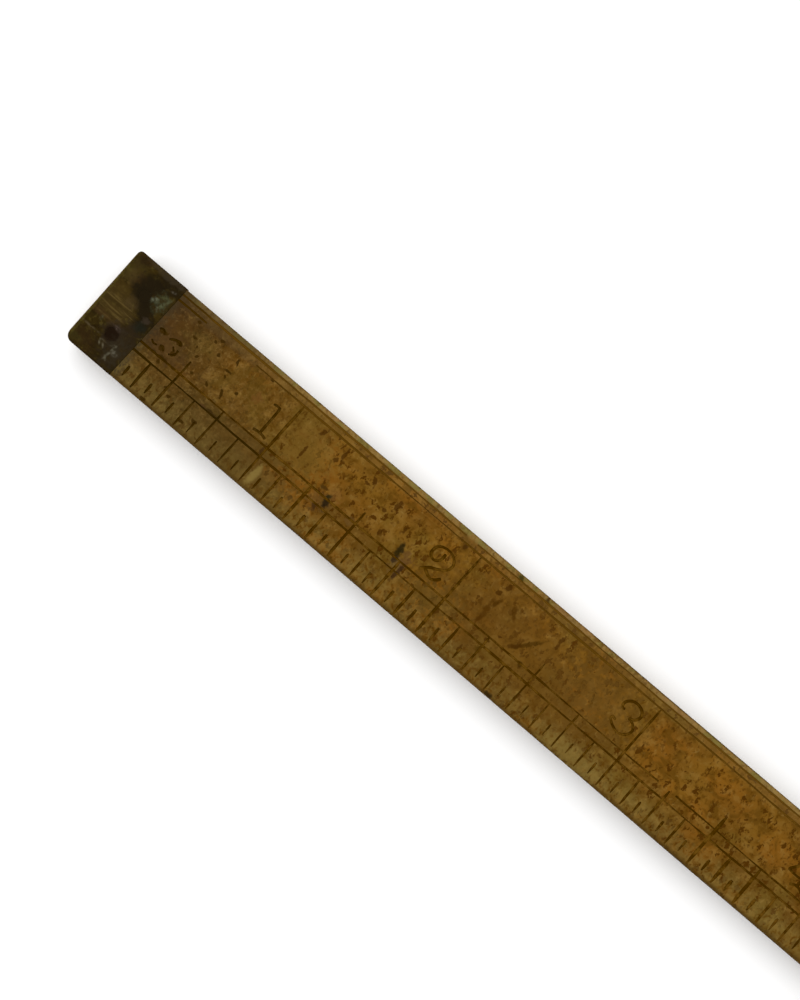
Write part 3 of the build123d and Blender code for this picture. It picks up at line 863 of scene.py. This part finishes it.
# Numerals, as strokes of (x, y) points in millimetres over their baseline. A stroke that ends where it
# starts is a loop.
one = (((0.9, 3.5), (0.92, 2), (0.9, 0.05)),
       ((0.03, 3.42), (0.45, 3.52), (0.97, 3.5)),
       ((0, -0.1), (0.4, 0), (0.9, 0.04), (1.4, -0.02), (1.8, -0.16)))
two = (((1.45, 3.08), (1.42, 2.32), (1.15, 1.94), (0.69, 1.76), (0.18, 2.02), (0.03, 2.55), (0.23, 3.16),
        (0.84, 3.51), (1.68, 3.57), (2.44, 3.24), (2.85, 2.55), (2.6, 1.79), (1.83, 1.25), (0.92, 0.79),
        (0.15, 0)),
       ((0.53, 0.64), (0.85, 0.36), (1.22, 0.14), (1.83, -0.05), (2.35, 0.2), (2.75, 0.7)))
three = (((0.88, 2.8), (0.45, 2.95), (0.4, 3.5), (0.9, 4), (1.6, 4.15), (2.35, 3.9), (2.72, 3.3),
          (2.45, 2.65), (1.75, 2.36)),
         ((1.75, 2.34), (2.5, 2.15), (2.95, 1.55), (2.65, 0.8), (1.85, 0.42), (1, 0.62), (0.3, 1.1),
          (0.35, 1.42), (0.8, 1.32)))
four = (((1.85, 3.7), (0.95, 2.4), (0.05, 1.2)),
        ((0, 1.22), (1.3, 1.12), (2.7, 1.35)),
        ((1.95, 3.7), (1.97, 2), (1.95, 0.3)),
        ((1.15, -0.05), (1.5, 0.22), (1.95, 0.3), (2.4, 0.22), (2.75, -0.05)))
five = (((0.7, 3.5), (1.4, 3.45), (2.4, 3.8)),
        ((0.72, 3.5), (0.6, 2.9), (0.5, 2.3)),
        ((0.5, 2.15), (1.3, 2.45), (2.2, 2.1), (2.6, 1.25), (2.15, 0.35), (1.2, 0), (0.35, 0.3),
         (0.2, 0.85), (0.6, 1.1)))
six = (((2.2, 3), (2.3, 3.4), (1.9, 3.68), (1.3, 3.5), (0.65, 2.85), (0.2, 2.05), (0.05, 1.3),
        (0.25, 0.55), (0.8, 0.1), (1.4, 0), (2.05, 0.25), (2.4, 0.8), (2.4, 1.4), (2, 1.95),
        (1.4, 2.15), (0.75, 1.9)),)
seven = (((0, 2.8), (0.35, 3.5), (1.2, 3.35), (1.9, 3.25), (2.6, 3.65)),
         ((2.6, 3.65), (1.9, 2.4), (1.4, 1.2), (1.25, 0)))
eight = (((1.3, 2.08), (0.75, 2.3), (0.45, 2.85), (0.7, 3.45), (1.3, 3.72), (1.9, 3.45), (2.15, 2.85),
          (1.85, 2.3), (1.3, 2.08)),
         ((1.3, 2), (0.6, 1.75), (0.2, 1.05), (0.5, 0.3), (1.3, 0), (2.1, 0.3), (2.4, 1.05),
          (2, 1.75), (1.3, 2)))
nine = (tuple((2.6 - x, 3.6 - y) for x, y in six[0]),)
zero = (((1.3, 3.7), (0.5, 3.2), (0.1, 1.85), (0.5, 0.45), (1.3, 0), (2.1, 0.45), (2.5, 1.85), (2.1, 3.2),
         (1.3, 3.7)),)
numerals = (zero, one, two, three, four, five, six, seven, eight, nine)
numeral_gap = 0.55
numeral_base = -6.95

# Gap between a number and its inch line, and the right end of the numbers that make room for the brass
number_gaps = {1: 0.85, 2: 1.6, 3: 0.8}
usual_number_gap = 1.4
moved_numbers = {6: -160.8, 11: -30.3, 12: -16.8, 18: 144, 19: 177.3}


def smooth_path(points, steps=5):
    """Smooth curve through points, a loop if it ends where it starts."""
    loop = points[0] == points[-1]
    if loop:
        points = points[:-1]
        padded = (points[-1], *points, points[0], points[1])
    else:
        padded = (points[0], *points, points[-1])
    path = []
    for a, b, c, d in zip(padded, padded[1:], padded[2:], padded[3:]):
        for i in range(steps):
            t = i / steps
            weights = (-t + 2 * t**2 - t**3, 2 - 5 * t**2 + 3 * t**3, t + 4 * t**2 - 3 * t**3, t**3 - t**2)
            near = list(zip(weights, (a, b, c, d)))
            path.append(tuple(sum(weight * point[axis] for weight, point in near) / 2 for axis in (0, 1)))
    if not loop:
        path.append(points[-1])
    return path, loop


def stroke_shape(face, points, x, y, clean=True):
    """One stroke of a numeral, broader where it runs up or down, or one that is worn thin in places."""
    path, loop = smooth_path(points)
    path = [(x + a, y + b) for a, b in path]
    widths = []
    for i in range(len(path)):
        before, after = path[max(i - 1, 0)], path[min(i + 1, len(path) - 1)]
        run = Vector((after[0] - before[0], after[1] - before[1])).normalized()
        upright = abs(run.y)
        wear = wander(3.1 * path[i][0] + 7.7 * path[i][1], 50)
        width = 0.19 + 0.08 * upright + 0.16 * wear
        widths.append(width if clean else 0.12 + 0.32 * wear)
    if not loop:
        widths[0] *= 0.6
        widths[-1] *= 0.6
    return groove(face, path, widths, 0.12, loop)


def number_strokes(face, x_low, x_high):
    """The strokes of the numbers on one stretch, in layers that hold one stroke of each numeral."""
    layers = [[], [], [], []]
    for number in range(1, 24):
        line = scale_start + number * inch
        right = moved_numbers.get(number, line - number_gaps.get(number, usual_number_gap))
        digits = [numerals[int(digit)] for digit in str(number)]
        widths = [max(x for stroke in digit for x, y in stroke) for digit in digits]
        x = right - sum(widths) - numeral_gap * (len(digits) - 1)
        if not x_low < right < x_high:
            continue
        for digit, width in zip(digits, widths):
            base = numeral_base + 0.15 * (wander(number * 11.3, 51) - 0.5)
            for layer, stroke in zip(layers, digit):
                layer.append(stroke_shape(face, stroke, x, base))
            x += width + numeral_gap
    return layers


# What is left of a mark beside the first tip, as strokes of (distance from the zero of the scale, y)
mark = (((7.73, -5.29), (8.12, -5.12), (8.42, -5.24), (8.57, -5.53)),
        ((7.83, -6.73), (8.22, -6.97), (8.71, -6.88)),
        ((9.3, -5.53), (9.69, -5.29), (10.13, -5.1), (10.52, -5.1), (10.77, -5.39)),
        ((10.91, -5.87), (10.91, -6.35), (10.67, -6.68), (10.28, -6.88)),
        ((9.69, -6.98), (9.35, -6.64), (8.96, -6.68)), ((10.18, -5.87), (10.47, -6.16), (10.57, -6.3)))


def engrave(leg, x_low, x_high):
    """Cut the scales of both faces into a leg."""
    for face in ("upper", "lower"):
        low, high = (x_low, x_high) if face == "upper" else (-x_high, -x_low)
        combine(leg, border_shapes(face, low, high), ink)
        combine(leg, tick_shapes(face, low, high), ink)
        for layer in number_strokes(face, low, high):
            combine(leg, layer, ink)


def seams(x, lean=0):
    """Dirt-filled grooves across both faces where wood meets brass, leaning by so much over the width."""
    shapes = []
    for face, turn in (("upper", 1), ("lower", -1)):
        path = [(turn * (x - lean / 2), edge_y), (turn * (x + lean / 2), inner_y)]
        shapes.append(groove(face, longer(path, 0.5), (0.1, 0.1), 0.1))
    return shapes


def longer(path, extra):
    """Straight path of two points, lengthened at either end."""
    start, end = Vector(path[0]), Vector(path[1])
    more = (end - start).normalized() * extra
    return [tuple(start - more), tuple(end + more)]


# The pieces

body_names = {arm: {"inner": f"inner_arm_{arm}", "outer": f"outer_arm_{arm}"} for arm in sides}


def make_inner_leg(arm):
    side = sides[arm]
    node = f"inner_leg_{arm}"
    leg = leg_bar(node + "_boxwood", horn_end, inner_head_back, arm, boxwood)
    hollow = turned((0, 0, 0), "Z", both_ends(0, top_z, [(hollow_radius, -spare)]), disc_steps)
    combine(leg, [hollow], boxwood)
    kerf = (main_tang_root, main_tang_end + kerf_spare)
    levels = (lower_tang, upper_tang) if arm == "left" else (middle_leaf,)
    combine(leg, [crossing(arm, *kerf, *roomy(level)) for level in levels], ink)
    hinge_kerf = (inner_tang_end - kerf_spare, inner_head_back + spare)
    combine(leg, [crossing(arm, *hinge_kerf, *roomy(hinge_tang))], ink)
    engrave(leg, *sorted((side * horn_end, side * inner_head_back)))
    main_places, radius = rivet_places(f"main_joint_rivets_{arm}", arm, 3)
    finish_leg(leg, node, arm, "inner", inner_head_back, [], rivet_holes(main_places, radius))


def make_outer_leg(arm):
    side = sides[arm]
    node = f"outer_leg_{arm}"
    leg = leg_bar(node + "_boxwood", outer_head_back, core_end, arm, boxwood)
    rebates = [rebate(arm, -spare, tip_wall), rebate(arm, top_z - tip_wall, top_z + spare)]
    combine(leg, rebates, boxwood)
    hinge_kerf = (outer_head_back - spare, outer_tang_end + kerf_spare)
    combine(leg, [crossing(arm, *hinge_kerf, *roomy(hinge_tang))], ink)
    engrave(leg, *sorted((side * outer_head_back, side * tip_back)))
    if arm == "left":
        combine(leg, [stroke_shape("upper", stroke, scale_start, 0, False) for stroke in mark], ink)
    tip_seams = seams(side * tip_back, -side * seam_lean)
    tip_holes = plain_holes(*rivet_places(f"tip_rivets_{arm}", arm, 2))
    finish_leg(leg, node, arm, "outer", outer_head_back, tip_seams, tip_holes)


def finish_leg(leg, node, arm, which, head_back, more_seams, more_holes):
    """Cut the seams and holes of a leg, those that both legs have and its own."""
    combine(leg, seams(sides[arm] * head_back) + more_seams, ink)
    combine(leg, rivet_holes(*rivet_places(f"{arm}_hinge_{which}_rivets", arm, 3)) + more_holes, ink)
    bore_for_closing_pin(leg, arm, which)
    settle(leg, arm, body_names[arm][which], "boxwood", node)


def bore_for_closing_pin(leg, arm, which):
    """Hole in the inner edge, on the left for the closing pin and on the right round it."""
    low, high = span(f"closing_pin_{which}", "right")
    x = sides[arm] * (low.x + high.x) / 2
    z = (low.z + high.z) / 2
    if arm == "left":
        radius, depth = closing_hole_radius, closing_hole_depth
    else:
        radius, depth = (high.z - low.z) / 2, inner_y - low.y
    profile = [(radius, -depth), (radius, -0.12), (radius + 0.4, 0.3)]
    combine(leg, [turned((x, inner_y, z), "Y", profile, round_steps)], ink)


def eased(radius, to_end):
    """How far a rounded corner has drawn in so far from the end."""
    return radius - math.sqrt(max(0, radius**2 - max(0, radius - to_end) ** 2))


def make_end_tip(arm):
    """Strip of brass folded round the end of the leg, its corners worn round in plan and at the fold."""
    side = sides[arm]
    node = f"end_tip_{arm}"
    inner_corner, outer_corner, fold = 0.55, 1.1, 0.5
    edge = 0.22
    proud = 0.08
    steps = 10
    offsets = [outer_corner * (1 - math.cos(math.radians(90 * i / steps))) for i in range(steps + 1)]
    places = [tip_back] + [tip_end - offset for offset in reversed(offsets)]
    rings = []
    for place in places:
        low_y = edge_y + edge + eased(outer_corner, tip_end - place)
        high_y = inner_y + proud - edge - eased(inner_corner, tip_end - place)
        low_z = edge + eased(fold, tip_end - place)
        high_z = top_z - low_z
        ring = quarter(high_y, high_z, edge, 0) + quarter(low_y, high_z, edge, 90)
        ring += quarter(low_y, low_z, edge, 180) + quarter(high_y, low_z, edge, 270)
        rings.append([(side * (place - tip_shift(place, y)), y, z) for y, z in ring])
    tip = solid(node + "_brass", [skin(rings)], tip_brass)
    core = crossing(arm, tip_back - spare, tip_end - tip_wall, tip_wall, top_z - tip_wall)
    combine(tip, [core], tip_brass)
    places, radius = rivet_places(f"tip_rivets_{arm}", arm, 2)
    combine(tip, plain_holes(places, radius), tip_brass)
    settle(tip, arm, body_names[arm]["outer"], "brass", node)


def knuckle_bounds(index):
    """Y of the two faces of one knuckle, counted from the inner edge."""
    width = (leg_width + knuckle_gap) / knuckles - knuckle_gap
    high = inner_y - index * (width + knuckle_gap)
    return high - width, high


def make_hinge_leaf(arm, which):
    """One leaf of a knuckle hinge: a head as big as the leg section, its knuckles and its tang."""
    node = f"{arm}_hinge_{which}_leaf"
    overlap = 0.5
    if which == "inner":
        first = 0
        head = (inner_head_back, hinge_axis - hinge_gap / 2)
        tang = (inner_tang_end, inner_head_back + overlap)
    else:
        first = 1
        head = (hinge_axis + hinge_gap / 2, outer_head_back)
        tang = (outer_head_back - overlap, outer_tang_end)
    leaf = leg_bar(node + "_brass", *head, arm, joint_brass, least=0.25, most=0.3)
    axis = (sides[arm] * hinge_axis, 0, hinge_height)
    ease = 0.12
    hollows, barrels = [], []
    for index in range(knuckles):
        low, high = knuckle_bounds(index)
        if index % 2 == first:
            profile = both_ends(low, high, [(barrel_radius - ease, 0), (barrel_radius, ease)])
            barrels.append(turned(axis, "Y", profile, barrel_steps))
        else:
            profile = both_ends(low, high, [(knuckle_hollow_radius, -knuckle_gap)])
            hollows.append(turned(axis, "Y", profile, barrel_steps))
    combine(leaf, hollows, joint_brass)
    combine(leaf, barrels, joint_brass, "UNION")
    combine(leaf, [crossing(arm, *tang, *hinge_tang, 0)], joint_brass, "UNION")
    bore = both_ends(edge_y, inner_y, [(hinge_pin_radius + turning_room, -spare)])
    combine(leaf, [turned(axis, "Y", bore, round_steps)], joint_brass)
    places, radius = rivet_places(f"{arm}_hinge_{which}_rivets", arm, 3)
    combine(leaf, plain_holes(places, radius), joint_brass)
    settle(leaf, arm, body_names[arm][which], "brass", node)


def make_hinge_pin(arm):
    node = f"{arm}_hinge_pin"
    low, high = span(node, arm)
    centre = ((low.x + high.x) / 2, 0, (low.z + high.z) / 2)
    end = [(hinge_pin_radius * 0.5, 0), (hinge_pin_radius * 0.85, 0.04), (hinge_pin_radius, 0.15)]
    pin = turned(centre, "Y", both_ends(low.y, high.y, end), round_steps)
    piece = solid(node + "_steel", [pin], steel)
    settle(piece, arm, body_names[arm]["inner"], "steel", node)


def disc_profile(low, high, ringed):
    """Profile of a disc between its two faces, with three rings turned into each if asked for."""
    end = []
    if ringed:
        rings = ((pivot_radius + 1.2, 0.1), (disc_radius - 1.9, 0.12), (disc_radius - 1.2, 0.12))
        for ring, depth in rings:
            end += [(ring - 0.15, 0), (ring - 0.05, depth), (ring + 0.05, depth), (ring + 0.15, 0)]
    end += [(disc_radius - 0.12, 0), (disc_radius - 0.04, 0.04), (disc_radius, 0.12)]
    return both_ends(low, high, end)


def make_main_leaf(name, arm, low, high, tang_low, tang_high):
    """One leaf of the round joint: a disc and a tang."""
    node = f"main_joint_{name}_leaf"
    disc = turned((0, 0, 0), "Z", disc_profile(low, high, name != "middle"), disc_steps)
    leaf = solid(node + "_brass", [disc], disc_brass)
    tang = crossing(arm, main_tang_root, main_tang_end, tang_low, tang_high, 0)
    combine(leaf, [tang], joint_brass, "UNION")
    radius = pivot_radius + turning_room
    bore = both_ends(0, top_z, [(radius + 0.4, -0.4), (radius, 0.08)])
    combine(leaf, [turned((0, 0, 0), "Z", bore, bore_steps)], disc_brass)
    places, rivet_radius = rivet_places(f"main_joint_rivets_{arm}", arm, 3)
    combine(leaf, plain_holes(places, rivet_radius), joint_brass)
    settle(leaf, arm, body_names[arm]["inner"], "brass", node)


def make_pivot():
    """Pivot of the round joint, eased at its ends and dished by the riveting tool."""
    radius = pivot_radius
    dish = [(0.3, 0.16), (0.7, 0.1), (1.1, 0.03)]
    end = dish + [(radius - 0.3, 0.01), (radius - 0.08, 0.04), (radius, 0.14)]
    pivot = turned((0, 0, 0), "Z", both_ends(0, top_z, end), barrel_steps)
    piece = solid("main_joint_pivot_brass", [pivot], rivet_brass)
    settle(piece, "left", body_names["left"]["inner"], "brass", "main_joint_pivot")


def make_closing_pin(which):
    node = f"closing_pin_{which}"
    low, high = span(node, "right")
    centre = ((low.x + high.x) / 2, 0, (low.z + high.z) / 2)
    radius = (high.z - low.z) / 2
    angles = [math.radians(angle) for angle in (0, 20, 40, 60, 75)]
    free_end = [(radius * math.cos(a), high.y - radius * 0.5 * (1 - math.sin(a))) for a in angles]
    pin = turned(centre, "Y", [(radius, low.y)] + free_end, round_steps)
    piece = solid(node + "_steel", [pin], steel)
    settle(piece, "right", body_names["right"][which], "steel", node)


for arm in sides:
    make_inner_leg(arm)
    make_outer_leg(arm)
    make_end_tip(arm)
    make_rivets(f"tip_rivets_{arm}", arm, body_names[arm]["outer"], 2)
    make_rivets(f"main_joint_rivets_{arm}", arm, body_names[arm]["inner"], 3)
    for which in ("inner", "outer"):
        make_hinge_leaf(arm, which)
        make_rivets(f"{arm}_hinge_{which}_rivets", arm, body_names[arm][which], 3)
    make_hinge_pin(arm)

make_main_leaf("upper", "left", disc_bottom, top_z, *upper_tang)
make_main_leaf("lower", "left", 0, top_z - disc_bottom, *lower_tang)
make_main_leaf("middle", "right", *middle_leaf, *middle_leaf)
make_pivot()
for which in ("inner", "outer"):
    make_closing_pin(which)


# Floor, light and camera

def make_floor():
    mesh = bpy.data.meshes.new("floor")
    half, drop = 3, 0.00005
    corners = [(-half, -half, -drop), (half, -half, -drop), (half, half, -drop), (-half, half, -drop)]
    mesh.from_pydata(corners, [], [(0, 1, 2, 3)])
    material = bpy.data.materials.new("floor")
    material.use_nodes = True
    shader = material.node_tree.nodes["Principled BSDF"]
    shader.inputs["Base Color"].default_value = (0.97, 0.97, 0.97, 1)
    shader.inputs["Roughness"].default_value = 0.9
    mesh.materials.append(material)
    new_object("floor", mesh)


def make_light():
    world = bpy.data.worlds.new("studio")
    world.use_nodes = True
    background = world.node_tree.nodes["Background"]
    background.inputs["Color"].default_value = (1, 1, 1, 1)
    background.inputs["Strength"].default_value = 0.88
    bpy.context.scene.world = world
    lamp = bpy.data.lights.new("softbox", "AREA")
    lamp.shape = "SQUARE"
    lamp.size = 1.2
    lamp.energy = 4.5
    softbox = new_object("softbox", lamp)
    softbox.location = (-0.4, 0.15, 0.8)
    aim = Vector((-0.26, 0, 0)) - softbox.location
    softbox.rotation_euler = aim.to_track_quat("-Z", "Y").to_euler()


def make_camera():
    """Camera over the first tip, as near and as tilted as the photograph's."""
    looked_at = Vector((-264.67, -2.6, top_z)) * mm
    distance = 0.1636
    back = Vector((0.048, -0.0396, 1)).normalized()
    roll = math.radians(40.41)
    focal_length, picture_height = 1500, 1000
    up = Vector((-math.sin(roll), math.cos(roll), 0))
    right = up.cross(back).normalized()
    up = back.cross(right)
    data = bpy.data.cameras.new("camera")
    data.sensor_width = 36
    data.lens = data.sensor_width * focal_length / picture_height
    data.clip_start = 0.005
    camera = new_object("camera", data)
    camera.matrix_world = Matrix.Translation(looked_at + back * distance) @ \
        Matrix((right, up, back)).transposed().to_4x4()
    bpy.context.scene.camera = camera


make_floor()
make_light()
make_camera()
bpy.context.scene.view_settings.view_transform = "Standard"
